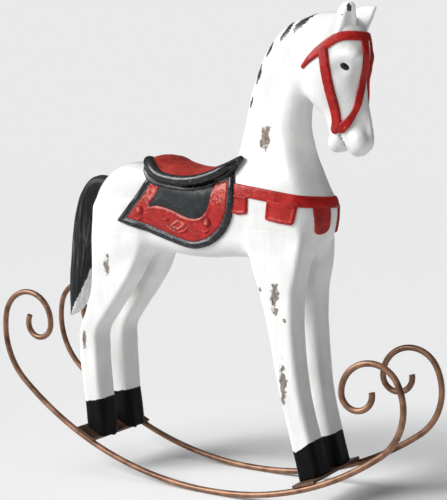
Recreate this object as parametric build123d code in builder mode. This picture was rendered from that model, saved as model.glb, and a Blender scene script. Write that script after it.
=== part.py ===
from build123d import *
import os
from math import cos, radians, sin, sqrt

# Tabletop rocking horse: a carved and painted wooden horse screwed to two bent wire rockers.
# Millimetres. +X towards the nose, the horse's right flank faces -Y, +Z up. The origin is on
# the floor, midway between the rockers, under the centre of their arc.

# ---- driving dimensions ----
ROD_D = 4.2            # rocker wire
ROCKER_R = 256.0       # centreline radius of the long bottom arc
ROCKER_SPACING = 66.8  # between the two wire centrelines
REAR_ARC = 40.2        # degrees of the bottom arc behind the lowest point
FRONT_ARC = 5.7        # and in front of it
REAR_CURL = [(52.7, 60.5), (22.2, 173.5), (10.8, 205.0)]                  # radius, degrees
FRONT_CURL = [(207.2, 31.5), (38.8, 79.7), (20.5, 155.6), (10.8, 190.0)]  # radius, degrees

PLATE_T = 2.0
PLATE_W = 17.0
PLATE_LENGTH = ROCKER_SPACING + ROD_D
REAR_PLATE_ANGLE = -24.7   # each round the centre of the arc it lies on, from straight down
FRONT_PLATE_ANGLE = 20.5

LEG_Y = 16.3               # hoof centre from the middle plane
SCREW_D = 3.0
SCREW_HEAD_D = 6.0
SCREW_LENGTH = 16.0
DOWEL_D = 6.0
LEG_DOWEL_LENGTH = 22.0
LEG_DOWEL_PLACES = [(44, 13.1, 184), (-90, 13.1, 184)]
NECK_DOWEL_D = 8.0
NECK_DOWEL_LENGTH = 34.0
NECK_DOWEL_PLACES = [(22, 0, 206), (50, 0, 206)]
NECK_DOWEL_LEAN = (0.15, 0, 1)
TAIL_PEG_D = 4.0
TAIL_PEG_LENGTH = 14.0
TAIL_PEG_PLACE = (-111, 0, 207)
TAIL_PEG_LEAN = (-0.8, 0, 0.35)
TORSO_ROUND = 0.44         # corner radii, as a share of a section's smaller side
LEG_ROUND = 0.3

REACH = 45.0               # outlines in the middle plane are run this far to each side
STRAP_T = 1.6              # carved relief of the straps above the wood
TAB_T = 1.3
CLOTH_T = 1.8
BORDER_T = 2.8
BORDER_W = 4.2
BAND_T = 0.7
STUD_D = 6.0
DIAMOND_R = 4.2
ORNAMENT_Y = (20.0, 28.9)  # studs and diamonds run between these, out from the middle plane
SADDLE_T = 12.0            # seat thickness, less where the back comes nearer
RIM_T = 1.4
EYE_D = 5.0
EYE_PLACE = (93.5, 12.2, 293)

# Horizontal rings of a leg: height, centre x, centre y, depth along x, width across y.
FORE_LEG = [
    (10, 77.6, 16.3, 17.6, 19.0),
    (34, 71.0, 16.3, 17.4, 19.2),
    (62, 63.8, 16.6, 17.0, 19.6),
    (92, 57.4, 17.6, 17.6, 20.4),
    (120, 53.8, 18.0, 20.6, 21.0),
    (144, 50.8, 18.0, 27.0, 21.6),
    (164, 49.0, 17.0, 37.0, 21.6),
    (182, 48.0, 14.8, 40.0, 20.4),
    (196, 47.0, 12.6, 32.0, 18.0),
]
HIND_LEG = [
    (17, -102.7, 16.3, 15.0, 19.0),
    (36, -104.3, 16.4, 15.8, 19.2),
    (55, -106.0, 16.6, 16.8, 19.4),
    (74, -108.1, 16.9, 17.6, 19.6),
    (91, -109.3, 17.1, 17.8, 19.8),
    (106, -108.0, 17.1, 18.6, 19.8),
    (121, -100.6, 17.0, 23.5, 20.0),
    (137, -93.0, 16.8, 31.5, 20.4),
    (154, -88.2, 16.4, 42.5, 20.6),
    (174, -86.5, 15.0, 50.0, 20.2),
    (194, -85.0, 12.2, 40.0, 17.0),
]
# Upright rings of the torso: x, lowest z, highest z, half width.
TORSO = [
    (-122.5, 162, 194, 6.0),
    (-117.5, 153, 206, 12.5),
    (-107, 147, 218.0, 20.5),
    (-90, 150, 225.8, 25.0),
    (-68, 158, 230.0, 25.4),
    (-42, 164.5, 225.0, 25.4),
    (-14, 163.5, 217.5, 25.2),
    (12, 163.5, 220.0, 25.2),
    (40, 163, 221.0, 25.2),
    (60, 167, 217.0, 22.6),
    (71, 173, 211.0, 15.6),
    (78, 179, 206.0, 9.0),
]
# Rings of the neck: crest point (x, z), throat point (x, z), half width.
NECK = [
    ((-6, 207), (72, 190), 21.5),
    ((5, 226), (73.5, 214), 20.5),
    ((12.0, 249), (66.0, 238), 18.0),
    ((16.0, 268), (62.0, 258), 15.0),
    ((23, 290), (63.5, 276), 13.2),
    ((35, 311), (69.0, 286), 12.6),
    ((54, 324), (75.0, 296), 12.2),
    ((74, 328), (84.0, 302), 10.5),
]
# Rings of the head: back point (x, z), front point (x, z), half width.
HEAD = [
    ((73, 328.5), (96, 326.0), 8.0),
    ((62, 321), (103.5, 316.5), 12.0),
    ((59, 306), (107.0, 303.5), 14.2),
    ((61, 290), (106.8, 291.0), 15.2),
    ((64, 276), (104.8, 277.0), 14.0),
    ((69, 262), (106.6, 264.0), 11.6),
    ((74, 249), (109.4, 252.0), 10.4),
    ((76, 240), (108.6, 242.0), 9.8),
    ((80, 236.4), (101.5, 236.0), 6.6),
]
# Horizontal rings of an ear, like a leg's.
EAR = [
    (317, 90.5, 7.4, 11.5, 7.6),
    (326, 93.5, 9.0, 9.5, 5.6),
    (334, 96.5, 10.4, 2.4, 2.0),
]
# Upright rings of the saddle, like the torso's.
SADDLE = [
    (-74, 190, 229.0, 28.2),
    (-64, 190, 235.2, 28.6),
    (-48, 190, 234.6, 28.8),
    (-30, 190, 228.8, 28.8),
    (-12, 190, 226.6, 28.6),
    (4, 190, 230.0, 28.2),
    (16, 190, 234.2, 27.6),
    (28, 190, 238.0, 27.0),
]
SADDLE_FLOOR, SADDLE_CEILING = 180.0, 260.0
# Rings of the tail: centre x, centre z, thickness fore and aft, width across.
TAIL = [
    (-100, 212, 10, 12),
    (-117, 213.5, 11, 14),
    (-126.5, 204, 12, 16),
    (-130.1, 189, 15, 17),
    (-132.3, 171, 17, 17),
    (-134.2, 154, 17, 17),
    (-136.4, 145, 14.5, 14.5),
    (-140.4, 132, 9.5, 10),
    (-145, 119, 4.4, 4.6),
    (-146.2, 110.5, 1.6, 2.4),
]
# Outlines in the middle plane, as (x, z).
SEAT_OUTLINE = [
    (-78, 226), (-78, 245), (21, 245), (20, 223), (12, 221), (1.5, 216.5), (-12, 213.5), (-26, 213),
    (-40, 215.5), (-54, 220),
]
RIM_OUTLINE = [
    (-78, 231), (-66, 228.5), (-54, 224), (-40, 218.6), (-26, 216.0), (-12, 216.4), (1.5, 220.0),
    (12, 225.5), (20.5, 230.5), (20.5, 223), (14.8, 220.4), (-3, 212.8), (-18, 210.0), (-33.6, 211.2),
    (-50, 214.6), (-60, 219.4), (-78, 224.5),
]
SADDLE_PLAN = (-22.0, 45.0, 34.0, 21.0)  # ellipse centre x, its half length and half width, front x
CLOTH_OUTLINE = [
    (-79.6, 187), (-55, 217.5), (-66, 240), (14, 240), (15.6, 222), (17.6, 210), (17, 199), (13.4, 188.6),
    (6, 179.4), (-4, 172.6), (-14, 170.4), (-31.7, 173.6), (-47, 178.6), (-64, 183.2),
]
BAND_INNER = [
    (-44.6, 214), (-52, 198.7), (-40, 197.9), (-27.5, 193.8), (-17, 191.2), (-9, 192.0),
    (-3.4, 197.4), (-0.8, 206), (-0.4, 214),
]
STUDS = [(-60.9, 195.4), (-3.6, 188.4)]
DIAMOND = (-27.6, 186.2)
COLLAR_OUTLINE = [
    (16, 215.6), (38, 212.7), (62, 209.0), (90, 207.4), (90, 198.6), (62, 200.0), (38, 203.7), (16, 207.2),
]
COLLAR_TABS = [
    [(18.6, 208), (28, 206.4), (28, 195.4), (18.8, 196.2)],
    [(42.0, 204), (63.0, 200.8), (60.5, 188.0), (42.3, 191.0)],
    [(69.5, 200.4), (81.5, 200), (80.5, 187), (77.0, 182.0), (72.0, 181.4), (68.4, 184.5)],
]
TAB_INNER_Y = 5.0           # the chest tabs stop this far from the middle plane
# Bridle straps as runs of (x, z) points in the middle plane's view, with their widths.
BROW_BAND = ([(64, 293), (80, 301.5), (92, 309.5), (110, 310.6)], 5.0)
CHEEK_STRAP = ([(79.0, 301), (80.6, 290), (83.6, 276), (86.2, 263), (87.8, 249)], 6.4)
FACE_STRAP = ([(104.6, 308), (102.2, 290), (98.0, 272), (92.5, 258), (87.6, 249)], 4.4)

ARC_CENTRE_Z = ROCKER_R + ROD_D / 2


def export(part, name):
    """Labels a finished piece and writes it to parts/NAME.step."""
    os.makedirs("parts", exist_ok=True)
    part.label = name
    export_step(part, "parts/" + name + ".step")


# ---- the metal base ----
def rocker(y):
    """One bent wire: the long bottom arc and a smaller and smaller curl at each end."""
    with BuildLine(Plane.XZ.offset(-y)) as path:
        low = (0, ROD_D / 2)
        arc = JernArc(low, (1, 0), ROCKER_R, FRONT_ARC)
        for radius, turn in FRONT_CURL:
            arc = JernArc(arc @ 1, arc % 1, radius, turn)
        arc = JernArc(low, (-1, 0), ROCKER_R, -REAR_ARC)
        for radius, turn in REAR_CURL:
            arc = JernArc(arc @ 1, arc % 1, radius, -turn)
    wire = path.wires()[0]
    with BuildPart() as rod:
        with BuildSketch(Plane(wire @ 0, z_dir=wire % 0)):
            Circle(ROD_D / 2)
        sweep(path=wire)
    return rod.part


def bottom_arc(angle):
    """Centre and radius of the arc that carries the plate at this angle."""
    if angle < 0:
        return (0.0, ARC_CENTRE_Z), ROCKER_R
    radius, way = FRONT_CURL[0][0], radians(FRONT_ARC)
    step = ROCKER_R - radius
    return (step * sin(way), ARC_CENTRE_Z - step * cos(way)), radius


def plate_plane(angle):
    """The middle of a foot plate's underside, which bears on both wires along its two edges."""
    (x, z), radius = bottom_arc(angle)
    reach = sqrt((radius - ROD_D / 2) ** 2 - (PLATE_W / 2) ** 2)
    tilt = radians(angle)
    place = (x + reach * sin(tilt), 0, z - reach * cos(tilt))
    return Plane(origin=place, x_dir=(cos(tilt), 0, sin(tilt)), z_dir=(-sin(tilt), 0, cos(tilt)))


def screw_places(leg, plane):
    """Where the two hoof screws stand on a plate, in the plate's own plane."""
    low, above = leg[0], leg[1]
    share = (plane.origin.Z - low[0]) / (above[0] - low[0])
    x = low[1] + share * (above[1] - low[1])
    along = (x - plane.origin.X) * plane.x_dir.X
    return Locations((along, -LEG_Y), (along, LEG_Y))


def foot_plate(angle, leg):
    plane = plate_plane(angle)
    with BuildPart() as plate:
        with BuildSketch(plane):
            Rectangle(PLATE_W, PLATE_LENGTH)
        extrude(amount=PLATE_T)
        add(hoof_screws(angle, leg), mode=Mode.SUBTRACT)
    return plate.part


def hoof_screws(angle, leg):
    """Two countersunk wood screws, their heads flush under the plate."""
    plane = plate_plane(angle)
    cone = (SCREW_HEAD_D - SCREW_D) / 2
    with BuildPart() as screws:
        with Locations(plane):
            with screw_places(leg, plane):
                Cylinder(SCREW_D / 2, SCREW_LENGTH, align=(Align.CENTER, Align.CENTER, Align.MIN))
                Cone(SCREW_HEAD_D / 2, SCREW_D / 2, cone,
                     align=(Align.CENTER, Align.CENTER, Align.MIN))
    return screws.part


# ---- the wooden horse ----
def upright_ring(x, low, high, half_width, grow=0.0):
    """A rounded section of the torso, standing across the horse."""
    width, height = 2 * (half_width + grow), high - low + 2 * grow
    plane = Plane(origin=(x, 0, (low + high) / 2), x_dir=(0, 1, 0), z_dir=(1, 0, 0))
    with BuildSketch(plane) as ring:
        RectangleRounded(width, height, TORSO_ROUND * min(width, height))
    return ring.sketch


def tilted_ring(back, front, half_width, grow=0.0):
    """An oval section through two points of the middle plane."""
    middle = ((back[0] + front[0]) / 2, 0, (back[1] + front[1]) / 2)
    run = Vector(front[0] - back[0], 0, front[1] - back[1])
    plane = Plane(origin=middle, x_dir=run, z_dir=run.cross(Vector(0, 1, 0)))
    with BuildSketch(plane) as ring:
        Ellipse(run.length / 2 + grow, half_width + grow)
    return ring.sketch


def torso_block(grow=0.0):
    """The barrel from rump to breast, before anything is cut from it."""
    with BuildPart() as block:
        for x, low, high, half_width in TORSO:
            add(upright_ring(x, low, high, half_width, grow))
        loft()
    return block.part


def neck_block(grow=0.0):
    """The neck from withers to poll."""
    with BuildPart() as block:
        for back, front, half_width in NECK:
            add(tilted_ring(back, front, half_width, grow))
        loft()
    return block.part


def head_block(grow=0.0):
    """The head from poll to muzzle."""
    with BuildPart() as block:
        for back, front, half_width in HEAD:
            add(tilted_ring(back, front, half_width, grow))
        loft()
    return block.part


def leg_block(rings, side):
    with BuildPart() as block:
        for z, x, y, depth, width in rings:
            plane = Plane(origin=(x, side * y, z), z_dir=(0, 0, 1))
            with BuildSketch(plane):
                RectangleRounded(depth, width, LEG_ROUND * min(depth, width))
        loft()
    return block.part


def dowel(place, way, diameter, length):
    """A round peg centred on place."""
    with BuildPart() as peg:
        with BuildSketch(Plane(origin=place, z_dir=way)):
            Circle(diameter / 2)
        extrude(amount=length / 2, both=True)
    return peg.part


def leg_dowels():
    """One peg across each leg's top, into the torso."""
    with BuildPart() as pegs:
        for x, y, z in LEG_DOWEL_PLACES:
            for side in (-1, 1):
                add(dowel((x, side * y, z), (0, 1, 0), DOWEL_D, LEG_DOWEL_LENGTH))
    return pegs.part


def neck_dowels():
    with BuildPart() as pegs:
        for place in NECK_DOWEL_PLACES:
            add(dowel(place, NECK_DOWEL_LEAN, NECK_DOWEL_D, NECK_DOWEL_LENGTH))
    return pegs.part


def tail_peg():
    """The peg that holds the tail to the rump."""
    return dowel(TAIL_PEG_PLACE, TAIL_PEG_LEAN, TAIL_PEG_D, TAIL_PEG_LENGTH)


def cut(piece, *tools):
    """What is left of a piece once its neighbours are let into it."""
    with BuildPart() as rest:
        add(piece)
        for tool in tools:
            add(tool, mode=Mode.SUBTRACT)
    return rest.part


def neck_and_head(pegs):
    with BuildPart() as body:
        add(neck_block())
        add(head_block())
        add(pegs, mode=Mode.SUBTRACT)
    return body.part


def leg(rings, side, plate_angle, pegs):
    """A leg with its hoof cut flat on the foot plate and its screw and dowel holes."""
    floor = plate_plane(plate_angle).offset(PLATE_T)
    with BuildPart() as body:
        add(leg_block(rings, side))
        split(bisect_by=floor, keep=Keep.TOP)
        for piece in pegs:
            add(piece, mode=Mode.SUBTRACT)
    return body.part


def ear(side):
    """A pointed ear leaning outwards, its root let into the poll."""
    with BuildPart() as body:
        for z, x, y, depth, width in EAR:
            with BuildSketch(Plane(origin=(x, side * y, z), z_dir=(0, 0, 1))):
                Ellipse(depth / 2, width / 2)
        loft()
        add(head_block(), mode=Mode.SUBTRACT)
    return body.part


def eye(side):
    """A domed eye let into the cheek."""
    with BuildPart() as body:
        with Locations((EYE_PLACE[0], side * EYE_PLACE[1], EYE_PLACE[2])):
            Sphere(EYE_D / 2)
        add(head_block(), mode=Mode.SUBTRACT)
    return body.part


def tail_block():
    with BuildPart() as body:
        for i, (x, z, thick, wide) in enumerate(TAIL):
            below, above = TAIL[min(i + 1, len(TAIL) - 1)], TAIL[max(i - 1, 0)]
            run = Vector(above[0] - below[0], 0, above[1] - below[1])
            plane = Plane(origin=(x, 0, z), x_dir=run.cross(Vector(0, 1, 0)), z_dir=run)
            with BuildSketch(plane):
                Ellipse(thick / 2, wide / 2)
        loft()
    return body.part


# ---- the painted tack, carved in relief: a skin of the wood's own shape within an outline ----
def prism(points, near=-REACH, far=REACH):
    """An outline in the middle plane, run across the horse from near to far."""
    with BuildPart() as block:
        with BuildSketch(Plane.XZ.offset(-far)):
            with BuildLine():
                Polyline(*points, close=True)
            make_face()
        extrude(amount=far - near)
    return block.part


def band_prism(bands, near=-REACH, far=REACH):
    """Bands of even width along runs of points, across the horse from near to far."""
    with BuildPart() as block:
        with BuildSketch(Plane.XZ.offset(-far)):
            for points, width in bands:
                with BuildLine() as line:
                    Spline(*points)
                trace(line.wires()[0], line_width=width)
        extrude(amount=far - near)
    return block.part


def skin(blocks, thickness, outline, inner=0.0):
    """What lies within the outline between two offsets of the wooden blocks."""
    with BuildPart() as layer:
        for block in blocks:
            add(block(thickness))
        add(outline, mode=Mode.INTERSECT)
        for block in blocks:
            add(block(inner), mode=Mode.SUBTRACT)
    return layer.part


def narrowed(points, inset):
    """The same outline drawn in by inset on every side."""
    with BuildPart() as block:
        with BuildSketch(Plane.XZ.offset(-REACH)):
            with BuildLine():
                Polyline(*points, close=True)
            make_face()
            offset(amount=-inset, kind=Kind.INTERSECTION, mode=Mode.REPLACE)
        extrude(amount=2 * REACH)
    return block.part


def saddle_block(grow=0.0):
    """The saddle's outer form: a trough from cantle to pommel, rounded in plan at the cantle."""
    middle, half_length, half_width, front = SADDLE_PLAN
    with BuildPart() as block:
        for x, low, high, half in SADDLE:
            add(upright_ring(x, low, high, half, grow))
        loft()
        with BuildSketch(Plane.XY.offset(SADDLE_FLOOR), mode=Mode.PRIVATE) as plan:
            with Locations((middle, 0)):
                Ellipse(half_length + grow, half_width + grow)
            with Locations(((middle + front) / 2, 0)):
                Rectangle(front - middle, 2 * (half_width + grow))
        extrude(plan.sketch, amount=SADDLE_CEILING - SADDLE_FLOOR, mode=Mode.INTERSECT)
    return block.part


def on_flank(places, shape):
    """Copies of a small carved ornament standing out of each flank, still unfitted."""
    root, crown = ORNAMENT_Y
    with BuildPart() as group:
        for side in (-1, 1):
            for x, z in places:
                plane = Plane(origin=(x, side * root, z), x_dir=(1, 0, 0), z_dir=(0, side, 0))
                with BuildSketch(plane):
                    if shape == "stud":
                        Circle(STUD_D / 2)
                    else:
                        RegularPolygon(DIAMOND_R, 4)
                extrude(amount=crown - root)
    return group.part


# ---- assembly ----
peg = tail_peg()
neck_pegs = neck_dowels()
leg_pegs = leg_dowels()
front_screws = hoof_screws(FRONT_PLATE_ANGLE, FORE_LEG)
rear_screws = hoof_screws(REAR_PLATE_ANGLE, HIND_LEG)
neck = neck_and_head(neck_pegs)
legs = {}
for side, word in ((-1, "right"), (1, "left")):
    legs["fore_leg_" + word] = leg(
        FORE_LEG, side, FRONT_PLATE_ANGLE, [leg_pegs, neck_pegs, front_screws, neck])
    legs["hind_leg_" + word] = leg(HIND_LEG, side, REAR_PLATE_ANGLE, [leg_pegs, rear_screws])
torso = cut(torso_block(), neck, neck_pegs, leg_pegs, peg, *legs.values())
tail = cut(tail_block(), torso, peg, *legs.values())

export(rocker(ROCKER_SPACING / 2), "rocker_left")
export(rocker(-ROCKER_SPACING / 2), "rocker_right")
export(foot_plate(FRONT_PLATE_ANGLE, FORE_LEG), "foot_plate_front")
export(foot_plate(REAR_PLATE_ANGLE, HIND_LEG), "foot_plate_rear")
export(front_screws, "hoof_screws_front")
export(rear_screws, "hoof_screws_rear")
for name, piece in legs.items():
    export(piece, name)
export(torso, "torso")
export(neck, "neck_and_head")
export(neck_pegs, "neck_dowels")
export(leg_pegs, "leg_dowels")
export(peg, "tail_peg")
export(tail, "tail")

cloth_field = narrowed(CLOTH_OUTLINE, BORDER_W)
cloth = cut(skin([torso_block], CLOTH_T, cloth_field), neck)
border = cut(skin([torso_block], BORDER_T, prism(CLOTH_OUTLINE)), cloth_field, neck)
band = cut(skin([torso_block], CLOTH_T + BAND_T, cloth_field, CLOTH_T), prism(BAND_INNER), neck)
layers = [torso, neck, neck_pegs, cloth, border, band]
rim = cut(skin([saddle_block], RIM_T, prism(RIM_OUTLINE), -SADDLE_T), *layers)
seat = cut(skin([saddle_block], 0.0, prism(SEAT_OUTLINE), -SADDLE_T), rim, *layers)
export(cloth, "saddle_cloth")
export(border, "cloth_border")
export(band, "cloth_band")
export(seat, "saddle_seat")
export(rim, "saddle_rim")
export(cut(on_flank(STUDS, "stud"), torso, cloth, band), "saddle_studs")
export(cut(on_flank([DIAMOND], "diamond"), torso, cloth, band), "saddle_diamonds")

collar = cut(skin([torso_block, neck_block], STRAP_T, prism(COLLAR_OUTLINE)), border)
export(collar, "breast_collar")
for side, word in ((-1, "right"), (1, "left")):
    near, far = sorted((side * TAB_INNER_Y, side * REACH))
    with BuildPart() as tabs:
        for outline in COLLAR_TABS:
            add(skin([torso_block, neck_block], TAB_T, prism(outline, near, far)))
        for piece in [collar, border] + list(legs.values()):
            add(piece, mode=Mode.SUBTRACT)
    export(tabs.part, "collar_tabs_" + word)

wood = [head_block, neck_block]
headstall = skin(wood, STRAP_T, band_prism([BROW_BAND]))
export(headstall, "bridle_headstall")
for side, word in ((-1, "right"), (1, "left")):
    near, far = sorted((0.0, side * REACH))
    cheek = cut(skin(wood, STRAP_T, band_prism([CHEEK_STRAP], near, far)), headstall)
    face = cut(skin(wood, STRAP_T, band_prism([FACE_STRAP], near, far)), headstall, cheek)
    export(cheek, "bridle_cheek_strap_" + word)
    export(face, "bridle_face_strap_" + word)
    export(ear(side), "ear_" + word)
    export(eye(side), "eye_" + word)
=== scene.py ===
from math import cos, radians, sin

import bpy
import numpy as np
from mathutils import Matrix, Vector


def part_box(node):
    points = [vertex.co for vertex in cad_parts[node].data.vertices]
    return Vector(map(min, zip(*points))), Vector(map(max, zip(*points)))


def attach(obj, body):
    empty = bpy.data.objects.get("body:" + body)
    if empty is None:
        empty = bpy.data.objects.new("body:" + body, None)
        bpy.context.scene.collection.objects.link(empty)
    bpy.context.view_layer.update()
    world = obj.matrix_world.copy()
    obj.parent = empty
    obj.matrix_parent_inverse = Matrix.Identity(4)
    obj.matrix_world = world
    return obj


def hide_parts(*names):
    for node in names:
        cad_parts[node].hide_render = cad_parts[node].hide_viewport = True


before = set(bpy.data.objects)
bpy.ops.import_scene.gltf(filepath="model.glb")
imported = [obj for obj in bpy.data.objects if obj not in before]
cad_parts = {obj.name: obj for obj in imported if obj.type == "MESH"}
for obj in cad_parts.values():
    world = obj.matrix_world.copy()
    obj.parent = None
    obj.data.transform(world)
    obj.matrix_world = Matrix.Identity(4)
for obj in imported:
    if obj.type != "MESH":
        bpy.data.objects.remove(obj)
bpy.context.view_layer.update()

MM = 0.001
FINE = 1.0     # every sculpting grid is this many times its own step

# Shapes are worked out in millimetres, in the frame's axes, as fields: negative inside.


# ---- curves ----
def smooth(points, closed=False, per=10):
    """A Catmull-Rom curve through the points, per steps to each span."""
    p = np.array(points, float)
    if closed:
        p = np.vstack([p[-1], p, p[0], p[1]])
    else:
        p = np.vstack([2 * p[0] - p[1], p, 2 * p[-1] - p[-2]])
    t = (np.arange(per) / per)[:, None]
    out = []
    for a, b, c, d in zip(p[:-3], p[1:-2], p[2:-1], p[3:]):
        out.append(0.5 * (2 * b + (c - a) * t + (2 * a - 5 * b + 4 * c - d) * t * t
                          + (3 * b - a - 3 * c + d) * t ** 3))
    if not closed:
        out.append(p[-2][None])
    return np.vstack(out)


def along(table, at):
    """Reads a smooth curve through (position, value) pairs at each position."""
    run = smooth(table)
    order = np.argsort(run[:, 0])
    return np.interp(at, run[order, 0], run[order, 1])


# ---- fields ----
class Grid:
    """A block of points, with x, y and z kept as broadcastable arrays."""

    def __init__(self, low, high, step):
        step = step * FINE
        self.low, self.step = np.array(low, float), step
        self.count = [int((b - a) / step) + 2 for a, b in zip(low, high)]
        axes = [a + step * np.arange(n) for a, n in zip(low, self.count)]
        self.x, self.y, self.z = np.meshgrid(*axes, indexing="ij", sparse=True)


def loop_distance(loop, u, v):
    """Signed distance to a closed outline over any two broadcastable coordinates."""
    u, v = u + 0 * v, v + 0 * u
    best, inside = 1e9, np.zeros(u.shape, bool)
    for (au, av), (bu, bv) in zip(loop, np.roll(loop, -1, 0)):
        eu, ev = bu - au, bv - av
        t = np.clip(((u - au) * eu + (v - av) * ev) / max(eu * eu + ev * ev, 1e-9), 0, 1)
        best = np.minimum(best, (u - au - t * eu) ** 2 + (v - av - t * ev) ** 2)
        if av != bv:
            inside ^= ((av > v) != (bv > v)) & (u - au < eu * (v - av) / ev)
    return np.sqrt(best) * np.where(inside, -1, 1)


def outline_distance(loop, x, z):
    """The same over a block of points, for an outline in the xz plane."""
    return loop_distance(loop, x[:, 0, :], z[:, 0, :])[:, None, :]


def run_distance(run, x, y, z):
    """Distance to an open run of 3-D points, and how far along it, from 0 to 1."""
    run = np.array(run, float)
    lengths = np.linalg.norm(np.diff(run, axis=0), axis=1)
    starts = np.concatenate([[0], np.cumsum(lengths)])
    best, share = 1e9, 0.0
    for a, b, start, length in zip(run[:-1], run[1:], starts, lengths):
        e = (b - a) / max(length, 1e-9)
        px, py, pz = x - a[0], y - a[1], z - a[2]
        t = np.clip(px * e[0] + py * e[1] + pz * e[2], 0, length)
        d = (px - t * e[0]) ** 2 + (py - t * e[1]) ** 2 + (pz - t * e[2]) ** 2
        share = np.where(d < best, (start + t) / starts[-1], share)
        best = np.minimum(best, d)
    return np.sqrt(best), share


def side_distance(points, per, x, z):
    """Distance to a smooth (x, z) run seen from the side, and how far along it."""
    return run_distance([(a, 0, b) for a, b in smooth(points, per=per)], x, 0 * z, z)


def join(a, b, soft):
    """The union of two fields with a soft fillet."""
    h = np.clip(0.5 + 0.5 * (b - a) / soft, 0, 1)
    return b + (a - b) * h - soft * h * (1 - h)


def both(a, b, soft):
    """What two fields share, its edge eased."""
    return -join(-a, -b, soft)


def board(outline, across, half, ease):
    """An outline given a half thickness across the horse, its edges eased to a radius."""
    u, v = outline + ease, across - half + ease
    return np.minimum(np.maximum(u, v), 0) + np.hypot(np.maximum(u, 0), np.maximum(v, 0)) - ease


def ball(grid, centre, radii):
    """An ellipsoid, near enough a distance."""
    cx, cy, cz = centre
    rx, ry, rz = radii
    k = np.sqrt(((grid.x - cx) / rx) ** 2 + ((abs(grid.y) - cy) / ry) ** 2 + ((grid.z - cz) / rz) ** 2)
    return (k - 1) * min(radii)


def ripple(x, y, z, wave, seed):
    """A smooth wandering value between about -1 and 1, for a hand-carved surface."""
    rng = np.random.default_rng(seed)
    total = 0.0
    for _ in range(6):
        way = rng.normal(size=3)
        way *= 2 * np.pi / wave / np.linalg.norm(way) * rng.uniform(0.7, 1.4)
        total = total + np.sin(way[0] * x + way[1] * y + way[2] * z + rng.uniform(0, 6.3))
    return total / 3.2


# ---- the horse's outlines, as (x, z) in the middle plane ----
TORSO_SIDE = [
    (-118.5, 178), (-117, 194), (-111.4, 207.6), (-102, 217.4), (-90.5, 224.6), (-76, 229.5), (-60, 228.5),
    (-42, 223), (-20, 218), (0, 219), (20, 223), (45, 222), (65, 214), (74.6, 208), (78, 202),
    (79.2, 194), (77.6, 185), (72, 176), (60, 168), (38, 165.2), (12, 164.6), (-8, 163.2), (-28, 164),
    (-46, 166), (-64, 164), (-84, 156), (-102, 149.5), (-112, 149.5), (-117.6, 160),
]
TORSO_HALF = [(-128, 8), (-120, 12), (-114, 15), (-106, 18.6), (-96, 22.4), (-84, 25.4), (-40, 25.6),
              (20, 25.6), (48, 25.2), (60, 22.2), (68, 16.8), (75, 10.5), (80, 7), (86, 5)]
NECK_SIDE = [
    (-8, 205), (5, 225), (10.2, 238), (13.6, 255), (16.4, 269), (19.2, 281), (24.6, 294.4), (30.6, 306.4),
    (39.4, 317.2), (50, 324.2), (62.5, 327.6), (74, 328.6), (86, 324), (90, 306), (80, 292), (68, 283),
    (61.8, 270), (60.8, 256), (63.6, 243), (67.4, 232), (71.6, 221.5), (75.8, 210.5), (78.5, 200),
    (70, 184), (35, 180), (6, 188),
]
NECK_HALF = [(185, 24), (205, 23.2), (222, 21.2), (240, 17.6), (258, 14.6), (276, 13.2), (300, 12.6),
             (330, 12)]
HEAD_SIDE = [
    (64, 324), (78, 329), (90, 328), (99.5, 320), (103.6, 310), (104.6, 300), (104.0, 291.5),
    (102.2, 284), (102.8, 274), (104.8, 265), (106.8, 256), (108.0, 248.6), (107.6, 242.6),
    (104.6, 237.4), (99.6, 234.4), (95.2, 234.8), (92.2, 238.4), (89.2, 238.2), (85.0, 237.6),
    (80.2, 239.0), (77.2, 243.6), (77.4, 251), (74.6, 259), (70.4, 266.5), (66.8, 276), (62.5, 290),
    (60, 306),
]
HEAD_HALF = [(228, 6.4), (236, 9.0), (242, 10.0), (248, 10.2), (256, 10.0), (266, 10.8), (278, 13.2),
             (290, 15.0), (303, 14.6), (316, 12.4), (330, 9.5)]

# Where the front of the neck lies at each height.
NECK_FRONT = [(180, 81), (200, 78.0), (210.5, 75.4), (221.5, 72.6), (232, 68), (243, 64.6), (256, 61.5),
              (280, 64), (340, 84)]

# How far the blocks' edges are eased, and where the neck stops being thinned at its front.
TORSO_EASE, NECK_EASE, HEAD_EASE, LEG_EASE = 12.5, 14.5, 9.5, 4.0
THROAT_TOP = 262

# Legs: height, centre x, depth along x, centre y, half width across.
FORE_LEG = [
    (8, 78.2, 17.6, 15.8, 9.8), (22, 74.4, 17.6, 15.8, 9.8), (36, 70.6, 17.2, 16.0, 9.8),
    (50, 66.8, 17.0, 16.4, 9.8), (70, 61.8, 17.0, 17.2, 10.0), (94, 57.4, 17.8, 18.0, 10.3),
    (121, 53.8, 20.8, 18.3, 10.7), (143, 50.8, 27.0, 18.2, 11.1), (162, 49.0, 37.0, 17.4, 11.3),
    (180, 48.0, 42.0, 15.2, 10.8), (197, 47.0, 34.0, 12.6, 9.8),
]
HIND_LEG = [
    (16, -102.2, 15.8, 17.0, 9.8), (34, -103.4, 17.2, 17.0, 9.8), (53, -105.8, 16.8, 17.1, 9.8),
    (74, -108.2, 17.7, 17.3, 9.9), (92, -109.3, 17.8, 17.4, 9.9), (105, -108.7, 18.2, 17.4, 10.0),
    (120, -100.6, 22.3, 17.4, 10.2), (136, -92.2, 29.3, 17.2, 10.4), (153, -86.5, 39.1, 16.6, 10.6),
    (174, -83.6, 47.0, 15.2, 10.4), (196, -85.0, 44.0, 12.4, 9.4),
]


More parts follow.
